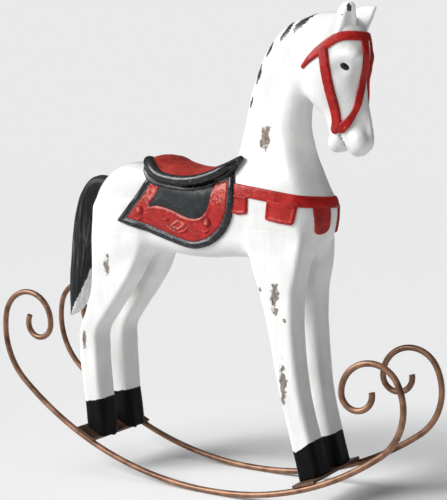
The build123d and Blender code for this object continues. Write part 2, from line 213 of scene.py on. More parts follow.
def leg_field(grid, rings):
    """One right and left pair of legs, from horizontal rings."""
    rings = np.array(rings)
    z = grid.z
    middle, depth, centre_y, half_width = (along(rings[:, (0, column)], z) for column in (1, 2, 3, 4))
    half_depth = depth / 2
    u = abs(grid.x - middle) - half_depth
    slope = np.gradient(middle.ravel(), grid.step).reshape(middle.shape)
    u = u / np.sqrt(1 + slope ** 2)
    side = board(u, abs(abs(grid.y) - centre_y), half_width, LEG_EASE)
    cap = np.maximum(z - rings[-1, 0], rings[0, 0] - z)
    return np.maximum(side, cap + 0 * grid.x)


# ---- the carved body ----
def slab(grid, side, half, ease):
    """A board cut to a side outline, its half thickness read from a table by height or length."""
    return board(outline_distance(smooth(side, closed=True), grid.x, grid.z), abs(grid.y), half, ease)


def torso_field(grid):
    """The barrel, rounder at its ends, with the swell of the breast."""
    half = along(TORSO_HALF, grid.x) + 0 * grid.z
    trunk = slab(grid, TORSO_SIDE, half, np.minimum(half * 0.95, TORSO_EASE))
    breast = ball(grid, (62, 6, 190), (12.5, 13.0, 18))
    return join(trunk, breast, 8.0)


def neck_field(grid):
    """The neck, drawn in to a narrow front edge below the throat."""
    thin = np.clip((grid.x - along(NECK_FRONT, grid.z)) / 16 + 1, 0, 1) ** 2
    half = along(NECK_HALF, grid.z) - 9.5 * thin * np.clip((THROAT_TOP - grid.z) / 30, 0, 1)
    return slab(grid, NECK_SIDE, half, np.minimum(half * 0.94, NECK_EASE))


def head_field(grid):
    """The head tapers towards its front, and has its features added or hollowed one by one."""
    half = along(HEAD_HALF, grid.z) + 0 * grid.x
    half = half - 8.0 * np.clip((grid.x - 87) / 18, 0, 1) ** 1.6
    skull = slab(grid, HEAD_SIDE, half, np.minimum(half * 0.9, HEAD_EASE))
    skull = join(skull, ball(grid, (73.5, 8.5, 284), (12.5, 7.4, 15.0)), 6.0)      # cheek
    skull = join(skull, ball(grid, (95.6, 9.8, 299.5), (7.2, 4.6, 4.4)), 4.0)      # brow
    skull = -join(-skull, ball(grid, (93.5, 17.0, 291.8), (7.2, 4.4, 5.4)), 3.0)   # eye socket
    skull = join(skull, ball(grid, (99.8, 5.8, 244.2), (6.0, 4.3, 6.6)), 5.0)     # nostril wing
    skull = join(skull, ball(grid, (83.4, 4.6, 243.0), (5.4, 5.6, 5.8)), 2.0)      # chin
    skull = -join(-skull, ball(grid, (104.4, 10.4, 245.6), (1.2, 1.5, 1.5)), 1.8)  # nostril
    cleft = run_distance([(88.0, 0, 249.0), (90.2, 0, 243.6), (92.4, 0, 237.0)],
                         grid.x, 0 * grid.y, grid.z)[0]
    return -join(-skull, np.maximum(cleft - 0.5, 4.5 - abs(grid.y)), 1.0)


BLENDS = [("neck", 9.0), ("head", 5.0), ("fore", 7.0), ("hind", 9.0)]


def body_fields(grid):
    return {
        "torso": torso_field(grid), "neck": neck_field(grid), "head": head_field(grid),
        "fore": leg_field(grid, FORE_LEG), "hind": leg_field(grid, HIND_LEG),
    }


def body_union(parts):
    """All the carved blocks blended as the carver sanded them together."""
    trunk = parts["torso"]
    for block, soft in BLENDS:
        trunk = join(trunk, parts[block], soft)
    return trunk


def hand_cut(grid):
    """The slight waviness that a knife leaves all over the wood."""
    return 0.16 * ripple(grid.x, grid.y, grid.z, wave=16.0, seed=4)


def body(grid):
    return body_union(body_fields(grid)) - hand_cut(grid)


# ---- meshes ----
def cell_behind(edge, others, back, cells):
    """The cell a step back from each crossed grid edge, and whether it is in the block."""
    cell = list(edge)
    for axis, step in zip(others, back):
        cell[axis] = cell[axis] - step
    ok = np.ones(len(edge[0]), bool)
    for place, count in zip(cell, cells):
        ok &= (place >= 0) & (place < count)
    return cell, ok


def net(grid, field):
    """Surface nets: one vertex in each crossed cell, a quad round each crossed grid edge."""
    field = np.asarray(field + 0 * (grid.x + grid.y + grid.z), np.float32)
    for axis in range(3):   # a shape that meets the grid's wall is closed there
        for end in (0, -1):
            index = [slice(None)] * 3
            index[axis] = end
            field[tuple(index)] = np.maximum(field[tuple(index)], grid.step * 0.5)
    inside = field < 0
    cells = tuple(n - 1 for n in field.shape)
    total = np.zeros(cells + (3,), np.float32)
    hits = np.zeros(cells, np.int16)
    crossed = []
    for axis in range(3):
        near = [slice(None)] * 3
        far = [slice(None)] * 3
        near[axis], far[axis] = slice(0, -1), slice(1, None)
        near, far = tuple(near), tuple(far)
        edge = np.nonzero(inside[near] != inside[far])
        a, b = field[near][edge], field[far][edge]
        spot = np.stack(edge, 1).astype(np.float32)
        spot[:, axis] += a / (a - b)
        others = [n for n in range(3) if n != axis]
        for back in ((0, 0), (0, 1), (1, 0), (1, 1)):
            cell, ok = cell_behind(edge, others, back, cells)
            at = tuple(place[ok] for place in cell)
            np.add.at(total, at, spot[ok])
            np.add.at(hits, at, 1)
        crossed.append((others, edge, inside[near][edge]))
    used = hits > 0
    number = np.full(cells, -1, np.int64)
    number[used] = np.arange(used.sum())
    points = total[used] / hits[used][:, None] * grid.step + grid.low
    faces = []
    for axis, (others, edge, starts_inside) in enumerate(crossed):
        corners = []
        for back in ((1, 1), (0, 1), (0, 0), (1, 0)):
            cell, ok = cell_behind(edge, others, back, cells)
            at = tuple(np.clip(place, 0, count - 1) for place, count in zip(cell, cells))
            corners.append(np.where(ok, number[at], -1))
        quad = np.stack(corners, 1)
        flip = starts_inside if axis != 1 else ~starts_inside
        quad[flip] = quad[flip][:, ::-1]
        faces.append(quad[(quad >= 0).all(1)])
    return points, np.vstack(faces)


def make_object(name, points, faces, material, nodes, rounds=0):
    """A mesh piece from millimetre points, riding on the one rigid body."""
    mesh = bpy.data.meshes.new(name)
    mesh.from_pydata((np.array(points) * MM).tolist(), [], [tuple(map(int, face)) for face in faces])
    mesh.validate()
    mesh.update()
    piece = bpy.data.objects.new(name, mesh)
    bpy.context.scene.collection.objects.link(piece)
    mesh.materials.append(material)
    mesh.polygons.foreach_set("use_smooth", [True] * len(mesh.polygons))
    if rounds:
        relax(mesh, rounds)
    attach(piece, "root")
    if nodes:
        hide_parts(*nodes)
    return piece


def relax(mesh, rounds):
    """Evens out a net's facets: a little shrinking, then as much swelling back."""
    points = np.empty(len(mesh.vertices) * 3)
    mesh.vertices.foreach_get("co", points)
    points = points.reshape(-1, 3)
    edges = np.empty(len(mesh.edges) * 2, int)
    mesh.edges.foreach_get("vertices", edges)
    a, b = edges.reshape(-1, 2).T
    degree = np.bincount(np.concatenate([a, b]), minlength=len(points))[:, None]
    for _ in range(rounds):
        for strength in (0.5, -0.53):
            total = np.zeros_like(points)
            np.add.at(total, a, points[b])
            np.add.at(total, b, points[a])
            points += strength * (total / np.maximum(degree, 1) - points)
    mesh.vertices.foreach_set("co", points.ravel())
    mesh.update()


def stamp(piece, name, values):
    """Stores one number at each vertex for the material to read."""
    layer = piece.data.attributes.new(name, "FLOAT", "POINT")
    layer.data.foreach_set("value", np.asarray(values, np.float32))


def vertices(piece):
    points = np.empty(len(piece.data.vertices) * 3)
    piece.data.vertices.foreach_get("co", points)
    return points.reshape(-1, 3) / MM


# ---- the carved pieces ----
def sole(node, tilt):
    """Middle x and z of a foot plate, and how far its toe end is tipped up."""
    low, high = (np.array(corner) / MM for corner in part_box(node))
    return (low[0] + high[0]) / 2, (low[2] + high[2]) / 2, radians(tilt)


FRONT_SOLE = sole("foot_plate_front", 20.5)
REAR_SOLE = sole("foot_plate_rear", -24.7)
PLATE_HALF = 1.0   # half the plates' thickness


def below_plate_top(grid, place):
    """Positive under a foot plate's upper face, where no hoof may reach."""
    x, z, tilt = place
    return PLATE_HALF - ((z - grid.z) * -cos(tilt) + (x - grid.x) * sin(tilt))


NECK_SEAM = [(-60, 246), (-20, 236), (0, 222), (17, 210.5), (40, 207.0), (62, 204), (92, 203)]


def neck_seam(grid):
    """The glue line between neck and torso, under the collar and the saddle."""
    return along(NECK_SEAM, grid.x) - grid.z


SHARP = radians(38)


def carve(node, grid, shape, material):
    points, faces = net(grid, shape)
    piece = make_object(node + "_carved", points, faces, material, [node], rounds=2)
    piece.data.set_sharp_from_angle(angle=SHARP)
    return piece


BODY_BOX = ((-134, -34, 8), (116, 34, 336))
SHOULDER, HAUNCH = 184, 178    # heights where the legs' own blocks end
LAP = 2.5                      # how far a leg's block runs on into the trunk


def carve_body(white):
    """The blocks the horse was glued up from, each a closed solid of its own."""
    grid = Grid(*BODY_BOX, 1.2)
    parts = body_fields(grid)
    field = body_union(parts) - hand_cut(grid)
    seam = neck_seam(grid)
    trunk = np.minimum(parts["torso"], parts["neck"])
    fore = np.maximum(parts["fore"] - trunk, grid.z - SHOULDER)
    hind = np.maximum(parts["hind"] - trunk, grid.z - HAUNCH)
    rest = np.maximum(field, -np.minimum(fore, hind))
    pieces = {
        "neck_and_head": carve("neck_and_head", grid, np.maximum(rest, seam), white),
        "torso": carve("torso", grid, np.maximum(rest + 0.02, -seam - 1.0), white),
    }
    for word, own, place in (("fore", fore, FRONT_SOLE), ("hind", hind, REAR_SOLE)):
        shape = np.maximum(np.maximum(field + 0.05, own - LAP), below_plate_top(grid, place))
        for side, way in (("left", 1), ("right", -1)):
            node = f"{word}_leg_{side}"
            half = np.maximum(shape, 0.4 - way * grid.y)
            pieces[node] = carve(node, grid, half, white)
    return pieces


# ---- materials ----
class Finish:
    """A node material put together step by step; each method returns an output socket."""

    def __init__(self, name):
        self.material = bpy.data.materials.new(name)
        self.material.use_nodes = True
        self.nodes = self.material.node_tree.nodes
        self.shader = self.nodes["Principled BSDF"]
        self.place = self.node("ShaderNodeTexCoord").outputs["Object"]

    def node(self, kind, **settings):
        node = self.nodes.new(kind)
        for key, value in settings.items():
            setattr(node, key, value)
        return node

    def feed(self, socket, value):
        if isinstance(value, bpy.types.NodeSocket):
            self.material.node_tree.links.new(value, socket)
        elif isinstance(value, tuple) and len(value) == 3 and socket.type == "RGBA":
            socket.default_value = (*value, 1)
        else:
            socket.default_value = value

    def set(self, **values):
        """Feeds the shader's own sockets; underscores stand for the spaces in their names."""
        for key, value in values.items():
            self.feed(self.shader.inputs[key.replace("_", " ")], value)

    def stamp(self, name):
        return self.node("ShaderNodeAttribute", attribute_name=name).outputs["Fac"]

    def stretch(self, x, y, z):
        """The object's coordinates in millimetres, squeezed along each axis."""
        node = self.node("ShaderNodeVectorMath", operation="MULTIPLY")
        self.feed(node.inputs[0], self.place)
        node.inputs[1].default_value = (x / MM, y / MM, z / MM)
        return node.outputs[0]

    def noise(self, size, detail=3.0, rough=0.55, warp=0.0, shape=(1, 1, 1)):
        """Soft noise from 0 to 1, its blotches about size millimetres across."""
        node = self.node("ShaderNodeTexNoise")
        self.feed(node.inputs["Vector"], self.stretch(*shape))
        node.inputs["Scale"].default_value = 1 / size
        node.inputs["Detail"].default_value = detail
        node.inputs["Roughness"].default_value = rough
        node.inputs["Distortion"].default_value = warp
        return node.outputs["Fac"]

    def cells(self, size, shape=(1, 1, 1), feature="F1"):
        """Distance to scattered points about size millimetres apart."""
        node = self.node("ShaderNodeTexVoronoi", feature=feature)
        self.feed(node.inputs["Vector"], self.stretch(*shape))
        node.inputs["Scale"].default_value = 1 / size
        return node.outputs["Distance"]

    def sum(self, operation, a, b=0.0, c=0.0, clamp=False):
        node = self.node("ShaderNodeMath", operation=operation, use_clamp=clamp)
        for socket, value in zip(node.inputs, (a, b, c)):
            self.feed(socket, value)
        return node.outputs[0]

    def fade(self, value, low, high, to_low=0.0, to_high=1.0):
        """Rises smoothly from to_low to to_high as the value goes from low to high."""
        node = self.node("ShaderNodeMapRange", interpolation_type="SMOOTHSTEP")
        for socket, item in zip(node.inputs, (value, low, high, to_low, to_high)):
            self.feed(socket, item)
        return node.outputs[0]

    def mix(self, share, a, b):
        node = self.node("ShaderNodeMix", data_type="RGBA")
        self.feed(node.inputs[0], share)
        self.feed(node.inputs[6], a)
        self.feed(node.inputs[7], b)
        return node.outputs[2]

    def blend(self, share, a, b):
        """Between two plain numbers."""
        return self.fade(share, 0.0, 1.0, a, b)

    def bump(self, height, depth, under=None):
        """A height from 0 to 1 standing depth millimetres proud."""
        node = self.node("ShaderNodeBump")
        node.inputs["Strength"].default_value = 1.0
        node.inputs["Distance"].default_value = depth * MM
        self.feed(node.inputs["Height"], height)
        if under:
            self.feed(node.inputs["Normal"], under)
        return node.outputs[0]


def horse_paint():
    """White paint over carved wood: brush drag, soft soiling, chips to the wood, black touches."""
    f = Finish("painted_white_wood")
    tone = f.noise(34, 3)
    drag = f.noise(2.2, 3, 0.6, shape=(1, 1, 0.12))
    speck = f.cells(7.5)
    white = f.mix(f.fade(tone, 0.35, 0.7), (0.80, 0.805, 0.79), (0.71, 0.715, 0.70))
    white = f.mix(f.sum("MULTIPLY", f.fade(drag, 0.5, 0.75), 0.35), white, (0.62, 0.63, 0.61))
    dirt = f.sum("MULTIPLY", f.fade(speck, 0.10, 0.03), f.fade(f.noise(22, 2), 0.52, 0.62))
    white = f.mix(f.sum("MULTIPLY", dirt, 0.55), white, (0.30, 0.31, 0.30))
    grain = f.noise(1.1, 4, 0.6, warp=0.6, shape=(1, 1, 0.10))
    wood = f.mix(f.fade(grain, 0.35, 0.65), (0.17, 0.13, 0.105), (0.32, 0.255, 0.21))
    char = f.fade(f.noise(1.6, 3, 0.7, shape=(1, 1, 0.6)), 0.55, 0.62)
    wood = f.mix(f.sum("MULTIPLY", char, 0.85), wood, (0.045, 0.04, 0.04))
    torn = f.fade(f.noise(3.2, 4, 0.6, shape=(1, 1, 0.7)), 0.25, 0.75, -0.6, 0.6)
    ragged = f.sum("ADD", f.stamp("wear"), torn)
    chipped = f.fade(ragged, 0.0, 0.12)
    rim = f.sum("SUBTRACT", f.fade(ragged, -0.22, 0.0), chipped)
    bristle = f.noise(0.9, 3, 0.6, shape=(1, 1, 0.35))
    stroke = f.sum("ADD", f.stamp("black"), f.fade(bristle, 0.3, 0.7, -0.4, 0.4))
    stroke = f.fade(stroke, 0.0, 0.22)
    hoof_edge = f.sum("ADD", f.stamp("hoof"), f.fade(f.noise(2.6, 3, 0.5), 0.2, 0.8, -0.22, 0.22))
    hoof = f.fade(hoof_edge, 0.0, 0.18)
    black = f.mix(f.noise(3.0, 3), (0.001, 0.0013, 0.0016), (0.005, 0.0055, 0.006))
    dry = f.mix(f.noise(1.0, 3), (0.010, 0.010, 0.013), (0.04, 0.04, 0.045))
    colour = f.mix(chipped, white, wood)
    colour = f.mix(f.sum("MULTIPLY", rim, 0.6), colour, (0.26, 0.25, 0.24))
    colour = f.mix(stroke, colour, dry)
    colour = f.mix(hoof, colour, black)
    gloss = f.fade(f.noise(9, 3), 0.3, 0.7, 0.34, 0.46)
    rough = f.blend(chipped, gloss, 0.85)
    rough = f.blend(hoof, rough, 0.5)
    ground = f.bump(f.noise(5.0, 3), 0.16)
    ground = f.bump(drag, 0.05, ground)
    ground = f.bump(f.sum("MULTIPLY", grain, chipped), 0.25, ground)
    ground = f.bump(f.sum("SUBTRACT", 1.0, chipped), 0.30, ground)
    f.set(Base_Color=colour, Roughness=rough, Normal=ground, IOR=1.48)
    f.set(Specular_IOR_Level=f.blend(hoof, 0.5, 0.1), Coat_Weight=f.blend(hoof, 0.08, 0.0))
    f.set(Coat_Roughness=0.3)
    return f.material


def worn_leather(name, deep, bright, rubbed, rough, rub=0.5, grain=0.10, ragged=0.45, gleam=0.5):
    """Painted, carved leatherwork with rubbed edges (the edge stamp), soft brush drag, and painted shade
    round carved ornaments.
    """
    f = Finish(name)
    tone = f.noise(9, 4, 0.6)
    drag = f.noise(1.3, 3, 0.65, shape=(0.35, 1, 1))
    colour = f.mix(f.fade(tone, 0.3, 0.72), deep, bright)
    colour = f.mix(f.sum("MULTIPLY", f.fade(drag, 0.5, 0.72), 0.12), colour, rubbed)
    worn = f.sum("ADD", f.stamp("edge"), f.fade(f.noise(2.2, 4, 0.7), 0.25, 0.75, -ragged, ragged))
    worn = f.fade(worn, 0.35, 0.95)
    colour = f.mix(f.sum("MULTIPLY", worn, rub), colour, rubbed)
    # Painted shade: the hollows round carved ornaments are darkened to a deep red-black, standing in for
    # the shade that falls there.
    painted_shade = f.sum("ADD", f.stamp("carving_shade"), f.fade(f.noise(1.8, 3), 0.3, 0.7, -0.15, 0.15))
    colour = f.mix(f.fade(painted_shade, 0.3, 0.9, 0.0, 0.85), colour, (0.018, 0.008, 0.008))
    fleck = f.sum("MULTIPLY", f.fade(f.cells(4.6), 0.13, 0.06), f.fade(f.noise(14, 2), 0.52, 0.6))
    colour = f.mix(f.sum("MULTIPLY", fleck, 0.6), colour, rubbed)
    shine = f.fade(f.noise(3.5, 3), 0.3, 0.7, rough - 0.07, rough + 0.10)
    ground = f.bump(f.noise(0.9, 4, 0.6), grain)
    ground = f.bump(drag, grain * 0.5, ground)
    f.set(Base_Color=colour, Roughness=shine, Normal=ground, Specular_IOR_Level=gleam)
    f.set(Coat_Weight=0.06, Coat_Roughness=0.25)
    return f.material


def tail_paint():
    """Matt black paint over carved hair, greyed where the brush skipped."""
    f = Finish("painted_black_hair")
    strand = f.noise(1.3, 4, 0.6, warp=0.4, shape=(1, 1, 0.08))
    colour = f.mix(f.fade(strand, 0.4, 0.75), (0.010, 0.011, 0.013), (0.035, 0.038, 0.042))
    dry = f.sum("ADD", f.stamp("edge"), f.fade(strand, 0.3, 0.7, -0.5, 0.5))
    colour = f.mix(f.fade(dry, 0.45, 1.15, 0.0, 0.5), colour, (0.16, 0.17, 0.18))
    white = f.mix(f.fade(strand, 0.45, 0.75), (0.74, 0.75, 0.75), (0.52, 0.54, 0.56))
    bare = f.sum("ADD", f.stamp("bare"), f.fade(strand, 0.3, 0.7, -0.25, 0.25))
    colour = f.mix(f.fade(bare, 0.0, 0.3), colour, white)
    ground = f.bump(strand, 0.22)
    f.set(Base_Color=colour, Roughness=f.fade(strand, 0.3, 0.7, 0.42, 0.6), Normal=ground, IOR=1.48)
    f.set(Specular_IOR_Level=0.25)
    return f.material


def metal(name, deep, bright, rough, sooty, scratch=(1, 1, 1), lay=0.5):
    """Drawn or rolled metal under a thin tinted lacquer, darker and duller in blotches."""
    f = Finish(name)
    tone = f.noise(12, 4, 0.6)
    fine = f.noise(lay, 3, 0.6, shape=scratch)
    colour = f.mix(f.fade(tone, 0.32, 0.7), deep, bright)
    colour = f.mix(f.sum("MULTIPLY", f.fade(fine, 0.5, 0.75), 0.4), colour, deep)
    pits = f.sum("MULTIPLY", f.fade(f.cells(3.2), 0.16, 0.07), f.fade(f.noise(10, 3), 0.5, 0.6))
    colour = f.mix(f.sum("MULTIPLY", pits, 0.6), colour, sooty)
    shine = f.fade(tone, 0.3, 0.7, rough - 0.06, rough + 0.10)
    ground = f.bump(fine, 0.05)
    ground = f.bump(f.sum("SUBTRACT", 1.0, pits), 0.05, ground)
    f.set(Base_Color=colour, Roughness=shine, Normal=ground)
    f.set(Metallic=0.6, Coat_Weight=0.15, Coat_Roughness=0.3)
    return f.material


def bare_wood():
    """Turned beech: rings of grain along the peg."""
    f = Finish("bare_beech")
    grain = f.noise(0.8, 4, 0.6, warp=0.8, shape=(0.2, 0.2, 1))
    colour = f.mix(f.fade(grain, 0.3, 0.7), (0.42, 0.27, 0.15), (0.62, 0.44, 0.28))
    f.set(Base_Color=colour, Roughness=f.blend(grain, 0.55, 0.75), Normal=f.bump(grain, 0.12))
    return f.material


def eye_gloss():
    """A bead of black enamel with a faint brown depth."""
    f = Finish("eye_enamel")
    colour = f.mix(f.noise(1.5, 3), (0.004, 0.004, 0.004), (0.02, 0.016, 0.013))
    f.set(Base_Color=colour, Roughness=f.fade(f.noise(1.0, 2), 0.3, 0.7, 0.12, 0.24))
    f.set(Normal=f.bump(f.noise(1.2, 2), 0.04), Specular_IOR_Level=0.25)
    f.set(Coat_Weight=0.15, Coat_Roughness=0.08)
    return f.material


# ---- tack: strips and panels modelled in relief on the body's own surface ----
CLOTH = [(-80.2, 187.6), (-71.4, 198.0), (-62.6, 208.4), (-54.6, 218.6), (-48, 226), (-20, 222), (4, 221.6),
         (13.6, 223.6), (17.2, 218), (18.2, 208), (17.4, 199), (14.8, 190.4), (8.8, 181.4), (-0.6, 174.0),
         (-11.4, 170.4), (-20, 170.3), (-31.7, 173.4), (-43.8, 177.2), (-56.3, 181.2), (-68.7, 184.2)]
PANEL = [(-40, 226), (-44.6, 211), (-52.6, 199.0), (-46, 199.0), (-38, 197.6), (-32, 195.8), (-25, 193.0),
         (-17.9, 191.0), (-11, 191.2), (-5.6, 194.6), (-2.2, 200.6), (-0.2, 208), (1.2, 226)]
STUD_PLACES = [(-60.6, 195.7), (-3.6, 188.8)]
DIAMOND_PLACE = (-27.6, 186.4)
DIAMOND_HALF, DIAMOND_LEAN = (6.3, 3.5), 0.12
FLOURISHES = [
    [(-41.0, 191.2), (-38.0, 189.9), (-34.4, 190.2)], [(-38.6, 187.6), (-33.6, 183.2), (-27.5, 181.0)],
    [(-27.5, 181.0), (-22.6, 182.0), (-18.6, 185.0)], [(-64.3, 190.6), (-61.0, 189.2), (-57.7, 190.4)],
    [(-8.2, 183.6), (-5.0, 182.2), (-1.6, 183.8)],
]
RIM_LOW = [(-58.6, 226.4), (-57.0, 221.6), (-52.6, 216.4), (-46, 213.4), (-33.6, 211.2), (-18.2, 210.4),
           (-3, 213.4), (8, 218.8), (15.6, 224.6)]
RIM_HIGH = [(15.6, 229), (4, 226), (-12, 221.5), (-30, 221), (-44, 225), (-54, 229.6)]
ROLL = [(-62.0, 0, 228.8), (-61.4, -8.5, 229.2), (-59.6, -15, 230.0), (-56.6, -20.6, 229.8),
        (-52.2, -24.4, 227.2), (-47.6, -27.2, 223.6), (-40, -29.0, 219.9), (-26, -29.6, 217.6),
        (-12, -29.4, 218.2), (1.5, -28.4, 221.8), (11, -26.0, 226.6), (16.4, -23.4, 230.2),
        (20.0, -21.4, 232.8)]
ROLL_RADIUS = 3.5
CREST = [(-62, 228.6), (-60, 232.2), (-56.4, 235.0), (-48.6, 234.6), (-35.8, 230.0), (-23, 227.2),
         (-10.7, 227.0), (0, 230.0), (10, 233.6), (24, 237.2)]

COLLAR = [(12, 216.4), (30, 214.5), (49, 211.6), (67, 208.8), (80, 207.8), (96, 207.6), (96, 200.4),
          (80, 200.2), (68, 200.8), (50, 203.2), (31, 206.2), (12, 208.4)]
TAB_BACK = [(15.6, 209), (28.3, 207), (28.2, 197.0), (27.0, 195.8), (21, 195.2), (15.6, 196.6)]
TAB_SIDE = [(43.6, 206), (65.2, 201.8), (63.2, 191.0), (61.4, 189.4), (52, 190.6), (43.4, 192.4),
            (42.6, 193.4)]
TAB_CHEST = [(-17.2, 202), (-7.2, 202), (-5.8, 191), (-6.4, 185), (-10.4, 182.6), (-14.6, 183.6),
             (-16.4, 188)]   # as (y, z) on the right side

BROW = [(63.2, 293.6), (69.5, 299.2), (75.5, 303.8), (81, 307.8), (86.5, 311.0), (92, 312.4), (100, 312.4),
        (112, 311.4)]
CHEEK = [(78.2, 304.4), (79.8, 295), (82.4, 281.5), (84.8, 267.5), (86.0, 257.5), (85.0, 252.6)]
FACE = [(103.7, -5.0, 311.5), (104.6, -4.8, 305.8), (105.0, -4.4, 299.3), (104.4, -4.0, 293),
        (103.4, -4.0, 286.6), (102.8, -5.0, 280.8), (101.8, -6.8, 274.4), (100.8, -8.4, 268),
        (98.5, -9.8, 262.5), (94.8, -10.4, 257.5), (89.4, -10.4, 252.8)]
EYE_PLACE, EYE_HALF, EYE_LEAN = (92.6, 292.7), (3.3, 2.15), radians(-32)

# Heights of the tops of the layers over the wood.
CLOTH_TOP, BEAD_MIDDLE, BAND_TOP, CARVING_TOP, SKIRT_TOP = 1.3, 0.4, 1.9, 1.8, 3.3
COLLAR_TOP, TAB_TOP, CHEST_TAB_TOP, BROW_TOP, CHEEK_TOP, FACE_TOP = 1.2, 1.1, 1.2, 1.6, 1.7, 1.5
BEAD_IN, BEAD_HALF = 2.6, (2.8, 2.4)   # the bead's middle inside the cloth's edge, its half sizes


def relief(name, grid, shape, material, nodes, rounds=2):
    """A layer of tack as a mesh piece of its own."""
    points, faces = net(grid, shape)
    return make_object(name, points, faces, material, nodes, rounds)


def flat_field(outline, skin, low, high, ease):
    """A layer on the skin between two heights, cut to a field over the middle plane."""
    return np.maximum(board(outline, skin, high, ease), low - skin)


def nearness(outline, reach, x, z):
    """How near points are to an outline, 1 on it and 0 at reach."""
    far = np.full(len(x), 1e9)
    for a, b in zip(outline[:-1], outline[1:]):
        run = np.subtract(b, a)
        t = np.clip(((x - a[0]) * run[0] + (z - a[1]) * run[1]) / max(run @ run, 1e-9), 0, 1)
        far = np.minimum(far, np.hypot(x - a[0] - t * run[0], z - a[1] - t * run[1]))
    return np.clip(1 - far / reach, 0, 1)


def diamond(x, z):
    """Signed distance to the leaning diamond's outline."""
    (cx, cz), (wide, high) = DIAMOND_PLACE, DIAMOND_HALF
    tilt = (z - cz) - DIAMOND_LEAN * (x - cx)
    return (abs(x - cx) / wide + abs(tilt) / high - 1) * 3.0


def dressed_saddle(grid, skin, red, black, panel):
    """Cloth, its bead and the red band with its carving; returns the skirt under the roll."""
    cloth = outline_distance(sharp(CLOTH), grid.x, grid.z)
    inner = outline_distance(smooth(PANEL, closed=True, per=6), grid.x, grid.z)
    puff = 0.9 * np.clip(-inner / 5, 0, 1)
    base = flat_field(cloth + 1.2, skin - puff, -1.4, CLOTH_TOP, 0.5)
    relief("cloth_panel", grid, base, panel, ["saddle_cloth"])
    bead = np.hypot((cloth + BEAD_IN) / BEAD_HALF[0], (skin - BEAD_MIDDLE) / BEAD_HALF[1])
    bead = (bead - 1) * BEAD_HALF[1]
    border = relief("cloth_bead", grid, bead, black, ["cloth_border"])
    ring = np.maximum(cloth + 5.2, -inner - 0.3)
    lip = 0.6 * np.clip(1 - abs(inner - 1.2) / 1.2, 0, 1)
    band = relief("cloth_band_carved", grid, flat_field(ring, skin - lip, -1.2, BAND_TOP, 0.7), red,
                  ["cloth_band"])
    stamp_band(band)
    x, _, z = vertices(border).T
    depth = -loop_distance(sharp(CLOTH), x, z)
    stamp(border, "edge", 0.78 * np.clip(1 - abs(depth - 4.8) / 1.0, 0, 1))
    studs = 1e3
    for x, z in STUD_PLACES:
        dome = np.sqrt((grid.x - x) ** 2 + (grid.z - z) ** 2 + ((skin - 1.5) * 1.5) ** 2) - 3.1
        studs = np.minimum(studs, dome)
    studs = relief("cloth_studs", grid, np.maximum(studs, 0.4 - skin), red, ["saddle_studs"])
    shine(studs, STUD_PLACES, 2.2)
    carving = np.hypot(diamond(grid.x, grid.z) + 0.4, (skin - CARVING_TOP) * 0.8) - 0.85
    for run in FLOURISHES:
        far, share = side_distance(run, 4, grid.x, grid.z)
        thin = 0.45 + 0.6 * np.sin(np.pi * share)
        carving = np.minimum(carving, np.hypot(far, (skin - 1.75) * 0.8) - thin)
    carving = relief("cloth_diamonds", grid, np.maximum(carving, 0.6 - skin), red,
                     ["saddle_diamonds"], rounds=1)
    shine(carving, [DIAMOND_PLACE], 8.0, wide=1.7)
    skirt = outline_distance(smooth(RIM_LOW + RIM_HIGH, closed=True, per=6), grid.x, grid.z)
    return flat_field(skirt, skin, -1.0, SKIRT_TOP, 1.0)


def stamp_band(band):
    """A rubbed line along the panel's lower edge, paler arms, and painted shade in the hollows round the
    carving.
    """
    x, _, z = vertices(band).T
    line = nearness(smooth(PANEL[2:10], per=6), 2.4, x, z)
    arms = 0.54 * np.clip((z - 193) / 12, 0, 1)
    stamp(band, "edge", np.maximum(line, arms))
    # Painted shade: a dark ring round each stud, along the diamond's outline and beside each flourish.
    carving_shade = np.zeros(len(x))
    for a, b in STUD_PLACES:
        carving_shade = np.maximum(carving_shade, 1.1 - abs(np.hypot(x - a, z - b) - 3.5) / 1.3)
    carving_shade = np.maximum(carving_shade, 1.0 - abs(abs(diamond(x, z)) - 1.2) / 0.9)
    for run in FLOURISHES:
        far, _ = side_distance(run, 4, x, z)
        carving_shade = np.maximum(carving_shade, 0.9 - abs(far - 1.1) / 1.0)
    stamp(band, "carving_shade", 0.62 * np.clip(carving_shade, 0, 1))


def shine(piece, places, reach, wide=1.0):
    """Marks carved bosses as rubbed bright."""
    x, _, z = vertices(piece).T
    far = np.min([np.hypot((x - a) / wide, z - b) for a, b in places], axis=0)
    stamp(piece, "edge", np.clip(1.1 - far / reach, 0, 1))


def sharp(points, per=6):
    """A smooth loop that keeps its first point as a crisp corner."""
    return smooth([points[0]] * 2 + points[1:] + [points[0]] * 2, per=per)[per:-per]


def saddle_roll_path():
    """The roll's centre line from one front tip round the cantle to the other."""
    half = smooth(ROLL, per=8)
    mirrored = half[1:] * (1, -1, 1)
    return np.vstack([half[::-1], mirrored])


def saddle(grid, skin, skirt, pad, black):
    """The black roll, thicker at the cantle and thin at its tips, and the dished seat inside it."""
    path = saddle_roll_path()
    roll, _ = run_distance(path[::2], grid.x, grid.y, grid.z)
    thick = ROLL_RADIUS + 0.7 * np.clip((-44 - grid.x) / 12, 0, 1) - 1.4 * np.clip((grid.x - 8) / 12, 0, 1)
    relief("saddle_roll", grid, join(roll - thick, skirt, 2.4), black,
           ["saddle_rim"])
    half = smooth(ROLL, per=8)
    order = np.argsort(half[:, 0])
    reach = np.interp(grid.x, half[order, 0], -half[order, 1])
    edge = np.interp(grid.x, half[order, 0], half[order, 2]) + 1.7
    crest = along(CREST, grid.x)
    share = np.clip(abs(grid.y) / np.maximum(reach, 1), 0, 1)
    top = edge + (crest - edge) * (1 - share ** 2.2)
    inside = np.maximum(abs(grid.y) - reach, grid.x - 19.5)
    inside = np.maximum(inside, -61.8 - grid.x)
    under = np.maximum(-skin - 1.5, np.where(share > 0.7, edge - 1.6, 205) - grid.z)
    seat = np.maximum(np.maximum(grid.z - top, inside), under)
    relief("saddle_seat_padded", grid, seat, pad, ["saddle_seat"], rounds=4)


